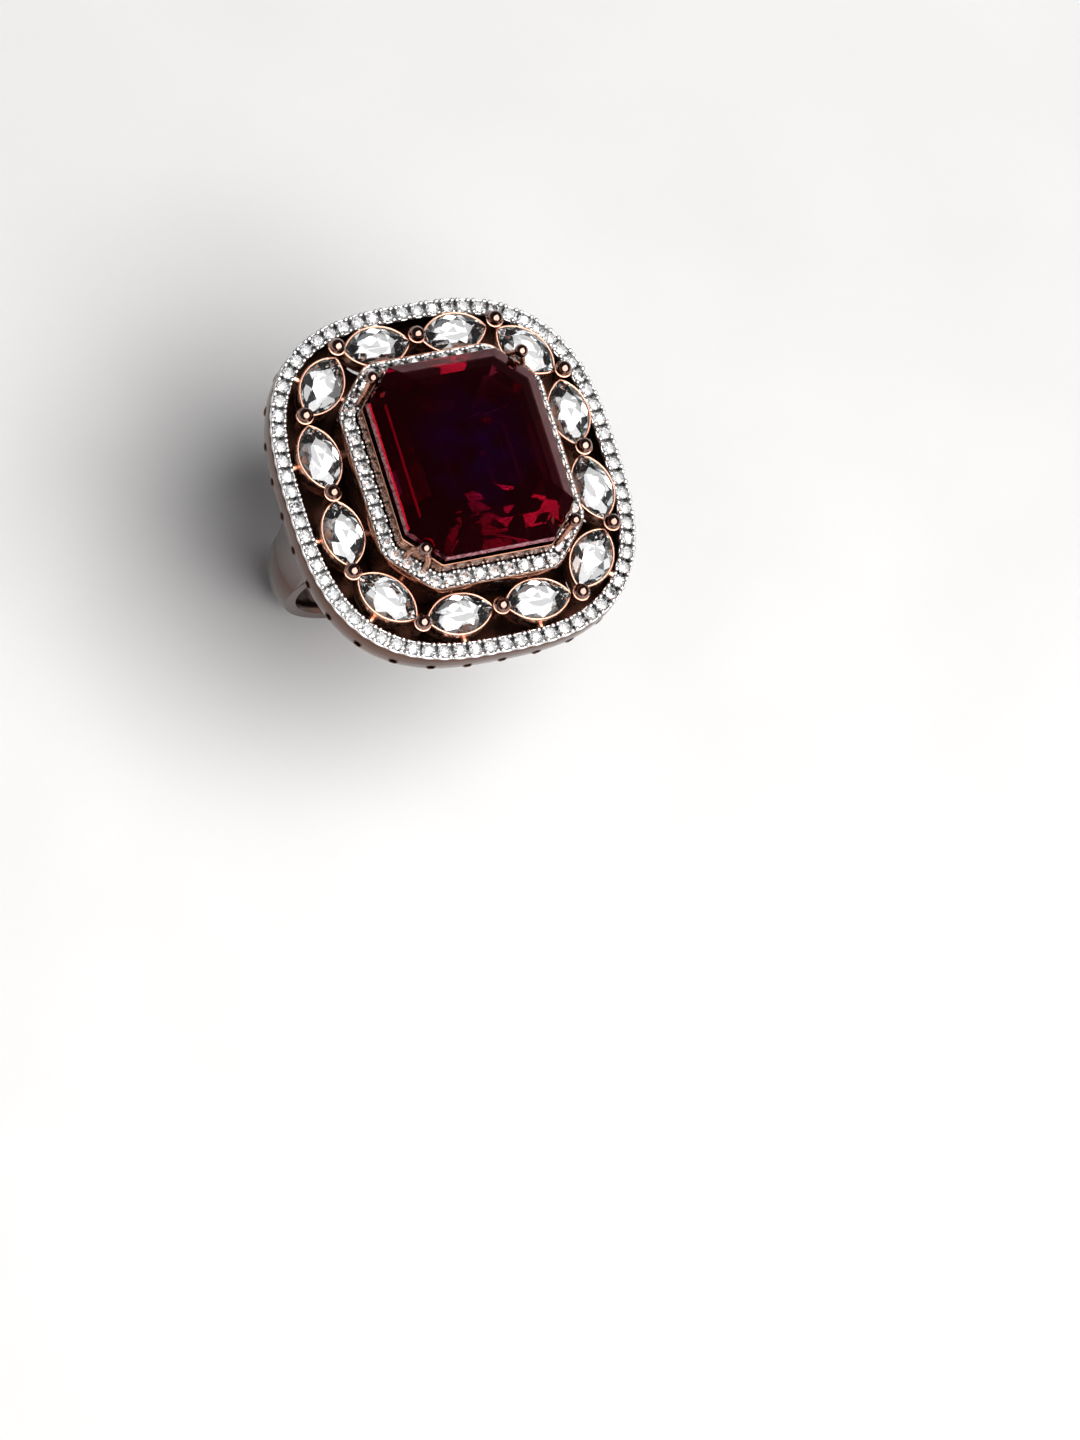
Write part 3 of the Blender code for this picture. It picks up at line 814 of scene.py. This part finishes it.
def make_claws(gold, shaded_ball_gold):
    """A ball over each cut corner of the centre stone, on two wires from the halo."""
    outline = octagon()
    for number in range(4):
        start, end = outline[2 * number], outline[2 * number + 1]
        corner = (start + end) / 2
        normal = Vector((end.y - start.y, start.x - end.x)).normalized()
        along = Vector((-normal.y, normal.x))

        def at(out, side, height):
            place = corner + normal * out + along * side
            return Vector((place.x, place.y, FACE + height))

        bm = bmesh.new()
        ball(bm, at(CLAW_BALL_OUT, 0, CLAW_BALL_HEIGHT), CLAW_BALL_RADIUS, detail=4)
        make_piece(f"claw_ball_{number + 1}", bm, shaded_ball_gold, "rose_gold",
                   f"claw_{number + 1}")
        bm = bmesh.new()
        for side in (-1, 1):
            points = [at(out, side * CLAW_SPREAD * share, height)
                      for out, share, height in CLAW_WIRE_PATH]
            tube(bm, smooth_path(points), CLAW_WIRE_RADIUS)
        make_piece(f"claw_wires_{number + 1}", bm, gold, "rose_gold", f"claw_{number + 1}")


# ------------------------------------------------------------ marquise stones and beads

def make_marquises(gold, gem):
    """Each clear stone in a collar, with a pin to the outer rail and one to the halo."""
    rim = marquise_outline(MARQUISE_LENGTH, MARQUISE_WIDTH, 8)
    rail = offset(frame_outline(PIN_RAIL_POINTS), -RAIL_HALF_WIDTH)
    halo = offset(octagon(), HALO_PIN_END)
    profile = ((BEZEL_LIP, BEZEL_TOP - 0.06), (0.10, BEZEL_TOP), (0.02, BEZEL_TOP),
               (-0.10, BEZEL_TOP - 0.12), (-0.12, BEZEL_TOP - 0.45), (-0.12, BEZEL_FOOT),
               (0.10, BEZEL_FOOT), (0.13, BEZEL_FOOT + 0.3))
    for i, (centre, direction) in enumerate(marquise_places()):
        turn = Matrix.Rotation(math.atan2(direction.y, direction.x), 4, "Z")
        place = Matrix.Translation((centre.x, centre.y, FACE + GIRDLE_HEIGHT)) @ turn
        label = f"{i + 1:02d}"
        bm = bmesh.new()
        brilliant(bm, rim, MARQUISE_CUT, place)
        make_piece(f"marquise_cut_{label}", bm, gem, "clear_stone",
                   f"marquise_stone_{label}", smooth=FACETED)

        bm = bmesh.new()
        flat_turn = turn.to_2x2()
        outline = [centre + flat_turn @ p
                   for p in marquise_outline(MARQUISE_LENGTH, MARQUISE_WIDTH, 20)]
        band(bm, outline, profile, round_by=0.02)
        normal = Vector((direction.y, -direction.x))
        out = normal if normal.dot(centre) > 0 else -normal
        half = MARQUISE_WIDTH / 2
        for way, target, level in ((out, rail, RAIL_PIN_HEIGHT),
                                   (-out, halo, HALO_PIN_HEIGHT)):
            length = reach(target, centre, way) + PIN_OVERLAP
            ends = (centre + way * half, centre + way * length)
            tube(bm, [Vector((p.x, p.y, FACE + level)) for p in ends], PIN_RADIUS)
        make_piece(f"bezel_{label}", bm, gold, "rose_gold", f"marquise_bezel_{label}")


def make_bead_prongs(gold, shaded_ball_gold):
    """A stem between two bezel tips, which widens into a cup for the ball on top."""
    stem = STEM_RADIUS
    lip = CUP_TOP
    profile = [(0.0, BEZEL_FOOT), (stem - 0.04, BEZEL_FOOT), (stem, BEZEL_FOOT + 0.05),
               (stem, lip - 0.45), (CUP_RADIUS - 0.10, lip - 0.16),
               (CUP_RADIUS, lip - 0.08), (CUP_RADIUS, lip - 0.02),
               (CUP_RADIUS - 0.03, lip), (CUP_RADIUS - 0.08, lip),
               (CUP_RADIUS - 0.11, lip - 0.04), (0.0, lip - 0.3)]
    for i in range(MARQUISES):
        label = f"{i + 1:02d}"
        centre = centre_of(f"bead_prong_{label}")
        bm = bmesh.new()
        turned(bm, profile, 36, centre)
        make_piece(f"collar_{label}", bm, gold, "rose_gold", f"bead_prong_{label}",
                   smooth=SPUN)
        bm = bmesh.new()
        ball(bm, (centre.x, centre.y, FACE + BEAD_HEIGHT), BEAD_RADIUS, detail=4)
        make_piece(f"bead_{label}", bm, shaded_ball_gold, "rose_gold", f"bead_prong_{label}")


# ------------------------------------------------------------ frame wall, gallery, shank

def make_frame_wall(gold):
    """The frame's rounded side, with a row of drilled holes that have raised rims."""
    outline = frame_outline(WALL_POINTS)
    profile = ((0.52, WALL_TOP), (WALL_OUT, WALL_TOP), (0.64, -0.60), (0.65, -1.15),
               (0.59, -1.75), (0.44, -2.30), (0.20, WALL_FOOT), (-0.30, WALL_FOOT),
               (-0.10, RAIL_FOOT), (0.50, RAIL_FOOT))
    bm = bmesh.new()
    band(bm, outline, profile, round_by=0.10)
    wall = make_piece("frame_wall", bm, gold, "rose_gold", "outer_wall")

    path = frame_outline(WALL_HOLES)
    drills = bmesh.new()
    rims = bmesh.new()
    for point, normal in zip(path, outward(path)):
        out = normal.to_3d()
        middle = Vector((point.x, point.y, FACE + WALL_HOLE_HEIGHT))
        ends = [middle - out * DRILL_IN, middle + out * DRILL_OUT]
        tube(drills, ends, WALL_HOLE_RADIUS, 20)
        upwards = Vector((0, 0, 1))
        across = out.cross(upwards)
        loops = []
        for p in circle(1.0, 24):
            spoke = across * p.x + upwards * p.y
            at = middle + out * WALL_OUT + spoke * (WALL_HOLE_RADIUS + HOLE_RIM_OUT)
            loops.append([at + spoke * q.x + out * q.y for q in circle(HOLE_RIM_RADIUS, 8)])
        loft(rims, loops, closed=True)
    combine(wall, drills, "DIFFERENCE")
    make_piece("frame_wall_rims", rims, gold, "rose_gold", smooth=ROUND)


def make_gallery(gold):
    """The plate behind the head, with a window behind every large stone."""
    bm = bmesh.new()
    rim = offset(frame_outline(PLATE_POINTS), -PLATE_INSET)
    prism(bm, rim, WALL_FOOT, PLATE_TOP)
    plate = make_piece("gallery_plate", bm, gold, "rose_gold", "gallery_base")

    # The tools reach past the plate on both sides
    tools = bmesh.new()
    low, high = WALL_FOOT - 1, WALL_FOOT + 2
    prism(tools, eased(octagon(WINDOW_SHRINK, WINDOW_CUT), WINDOW_EASE), low, high)
    for centre, direction in marquise_places():
        turn = Matrix.Rotation(math.atan2(direction.y, direction.x), 2)
        azure = marquise_outline(MARQUISE_LENGTH * AZURE_LENGTH,
                                 MARQUISE_WIDTH * AZURE_WIDTH, 12)
        prism(tools, [centre * AZURE_INSET + turn @ p for p in azure], low, high)
    combine(plate, tools, "DIFFERENCE")


def shank_width(angle):
    """Width of the band at an angle from the top of the ring."""
    share = 0.5 + 0.5 * math.cos(angle)
    return SHANK_WIDTH_BOTTOM + (SHANK_WIDTH_TOP - SHANK_WIDTH_BOTTOM) * share


def band_section(inner, outer):
    """Section as (radius, share of the width): eased at the finger, domed outside."""
    sides = [k / 8 for k in range(-8, 9)]
    inside = [(inner + BAND_EASE * abs(t) ** BAND_EASE_POWER, t / 2) for t in sides]
    outside = [(outer - BAND_DOME * abs(t) ** BAND_DOME_POWER, t / 2)
               for t in reversed(sides)]
    return inside + outside


def make_shank(gold):
    """A full band with a cathedral arm joined to each side."""
    loops = []
    for radius, share in band_section(FINGER_RADIUS, BAND_OUTER):
        loop = []
        for k in range(BAND_STATIONS):
            angle = math.tau * k / BAND_STATIONS
            y = share * shank_width(angle)
            loop.append((radius * math.sin(angle), y, radius * math.cos(angle)))
        loops.append(loop)
    bm = bmesh.new()
    loft(bm, loops, closed=True)
    shank = make_piece("shank_band", bm, gold, "rose_gold", "shank")

    # Each arm's ends are sunk into the wall and the band
    top = FACE + WALL_FOOT + ARM_SUNK
    for side in (-1, 1):
        loops = []
        for k in range(ARM_LEVELS):
            share = ARM_FOOT + (1 - ARM_FOOT) * k / (ARM_LEVELS - 1)
            outer = BAND_OUTER - ARM_SUNK + SHOULDER_FLARE * max(share, 0.0) ** 2
            width = shank_width(math.acos(share)) - ARM_SUNK
            section = band_section(outer - SHOULDER_THICKNESS, outer)
            loops.append([(side * x, part * width, top * share) for x, part in section])
        arm = bmesh.new()
        loft(arm, loops)
        combine(shank, arm, "UNION")


# ------------------------------------------------------------ studio and camera

def make_floor():
    """A round floor of pale plaster under the ring."""
    material, tree, shader = new_material("pale_plaster")
    place = place_of(tree)
    clouds = spread(tree, grain(tree, place, 9.0, 5.0), 0, 1)
    colour = blend_colours(tree, clouds, (0.74, 0.73, 0.72), (0.80, 0.79, 0.78))
    tree.links.new(colour, shader.inputs["Base Color"])
    wear = spread(tree, grain(tree, place, 60.0), 0.55, 0.7)
    tree.links.new(wear, shader.inputs["Roughness"])
    bump = add_node(tree, "Bump", {"Height": grain(tree, place, 900.0, 4.0),
                                   "Strength": 0.05, "Distance": 0.1 * MM})
    tree.links.new(bump.outputs[0], shader.inputs["Normal"])
    bm = bmesh.new()
    bmesh.ops.create_circle(bm, cap_ends=True, segments=64, radius=FLOOR_RADIUS)
    mesh = bpy.data.meshes.new("floor")
    bm.to_mesh(mesh)
    bm.free()
    mesh.materials.append(material)
    floor = bpy.data.objects.new("floor", mesh)
    floor.location.z = FLOOR_Z
    bpy.context.scene.collection.objects.link(floor)


def make_world():
    """Soft studio surroundings: pale at the horizon and dim overhead."""
    world = bpy.data.worlds.new("studio")
    bpy.context.scene.world = world
    world.use_nodes = True
    tree = world.node_tree
    direction = add_node(tree, "TexCoord").outputs["Generated"]
    height = add_node(tree, "SeparateXYZ", {"Vector": direction})
    ramp = add_node(tree, "ValToRGB", {"Fac": height.outputs["Z"]})
    elements = ramp.color_ramp.elements
    elements[0].position = SKY[0][0]
    elements[1].position = SKY[-1][0]
    for position, _ in SKY[1:-1]:
        elements.new(position)
    for element, (_, colour) in zip(elements, SKY):
        element.color = (*colour, 1.0)
    tree.links.new(ramp.outputs["Color"], tree.nodes["Background"].inputs["Color"])


def softbox(name, azimuth, elevation, width, height, radiance, surfaces):
    """An oval light aimed at the head of the ring; azimuth runs from +X towards +Y.

    surfaces names what shows it: matt surfaces, gloss, and what is seen through gems.
    """
    light = bpy.data.lights.new(name, "AREA")
    light.shape = "ELLIPSE"
    light.size = width
    light.size_y = height
    area = math.pi / 4 * width * height
    light.energy = radiance * math.pi * area
    across = math.cos(math.radians(elevation))
    way = Vector((across * math.cos(math.radians(azimuth)),
                  across * math.sin(math.radians(azimuth)),
                  math.sin(math.radians(elevation))))
    lamp = bpy.data.objects.new(name, light)
    lamp.location = Vector((0, 0, FACE * MM)) + way * LIGHT_DISTANCE
    lamp.rotation_euler = way.to_track_quat("Z", "Y").to_euler()
    lamp.visible_camera = False
    lamp.visible_diffuse = "matt" in surfaces
    lamp.visible_glossy = "gloss" in surfaces
    lamp.visible_transmission = "gems" in surfaces
    bpy.context.scene.collection.objects.link(lamp)
    return lamp


def light_group(name, piece, state):
    """A set of receivers: only this piece (INCLUDE), or everything but it (EXCLUDE)."""
    group = bpy.data.collections.new(name)
    group.objects.link(piece)
    group.collection_objects[0].light_linking.link_state = state
    return group


def make_camera():
    """Looks down on the head, which sits high and to the left in the view."""
    pitch = Matrix.Rotation(math.radians(CAMERA_PITCH), 3, "X")
    yaw = Matrix.Rotation(math.radians(CAMERA_YAW), 3, "Y")
    roll = Matrix.Rotation(math.radians(CAMERA_ROLL), 3, "Z")
    look = yaw @ pitch @ roll
    left, up = math.radians(HEAD_LEFT), math.radians(HEAD_UP)
    aim = Vector((-math.tan(left), math.tan(up), -1.0))
    turn = Vector((0, 0, -1)).rotation_difference(aim).to_matrix()
    data = bpy.data.cameras.new("camera")
    data.sensor_width = SENSOR_WIDTH
    data.lens = LENS
    data.clip_start = 0.01
    camera = bpy.data.objects.new("camera", data)
    camera.matrix_world = (turn @ look).transposed().to_4x4()
    back = look.transposed() @ Vector((0, 0, CAMERA_DISTANCE))
    camera.location = Vector((0, 0, FACE * MM)) + back
    bpy.context.scene.collection.objects.link(camera)
    bpy.context.scene.camera = camera


# ------------------------------------------------------------ build

dice = random.Random(72)
rose_gold = polished_metal("polished_rose_gold", (0.70, 0.38, 0.27), (0.55, 0.27, 0.19),
                           (0.10, 0.03, 0.018), gloss=(0.20, 0.34))
# A darker copy of the rose gold for the frame wall and shank: painted shade for the dark
# reflections they would show
shade_darkened_gold = polished_metal("shade_darkened_rose_gold", (0.12, 0.063, 0.046), (0.085, 0.042, 0.03),
                           (0.03, 0.010, 0.007), gloss=(0.10, 0.22))
# A darker copy of the rose gold for the balls: painted shade for their dark reflections;
# the coat gives their highlight
shaded_mirror_gold = polished_metal("shaded_mirror_rose_gold", (0.26, 0.13, 0.10), (0.20, 0.09, 0.065),
                           (0.05, 0.012, 0.008), gloss=(0.02, 0.05), Coat_Weight=1.0,
                           Coat_Roughness=0.04)
shaded_gold = polished_metal("shaded_rose_gold", (0.34, 0.18, 0.12), (0.22, 0.10, 0.065),
                             (0.04, 0.012, 0.008), gloss=(0.14, 0.28))
# Near-black rose gold for the gallery plate: painted shade, so the gaps between the stones
# look dark
recess_shade_gold = polished_metal("recess_shade_rose_gold", (0.028, 0.012, 0.008), (0.014, 0.006, 0.004),
                        (0.004, 0.003, 0.002), gloss=(0.30, 0.45))
white_metal = polished_metal("polished_white_metal", (0.86, 0.85, 0.84), (0.78, 0.77, 0.77),
                             (0.04, 0.036, 0.036), gloss=(0.22, 0.34))
clear = clear_gem("clear_stone_cut")

make_outer_rail(white_metal, clear, dice)
make_halo(white_metal, shaded_gold, clear, dice)
centre_stone = make_centre(red_gem(), frosted_girdle(), shaded_gold)
make_claws(rose_gold, shaded_mirror_gold)
make_marquises(rose_gold, clear)
make_bead_prongs(rose_gold, shaded_mirror_gold)
make_frame_wall(shade_darkened_gold)
make_gallery(recess_shade_gold)
make_shank(shade_darkened_gold)

make_floor()
make_world()
everything_else = light_group("all_but_centre_stone", centre_stone, "EXCLUDE")
only_stone = light_group("centre_stone_alone", centre_stone, "INCLUDE")
for lights, receivers in ((ROOM_LIGHTS, None), (WHITE_LIGHTS, everything_else),
                          (RED_LIGHTS, only_stone)):
    for light in lights:
        softbox(*light).light_linking.receiver_collection = receivers
make_camera()

scene = bpy.context.scene
scene.view_settings.view_transform = "Standard"
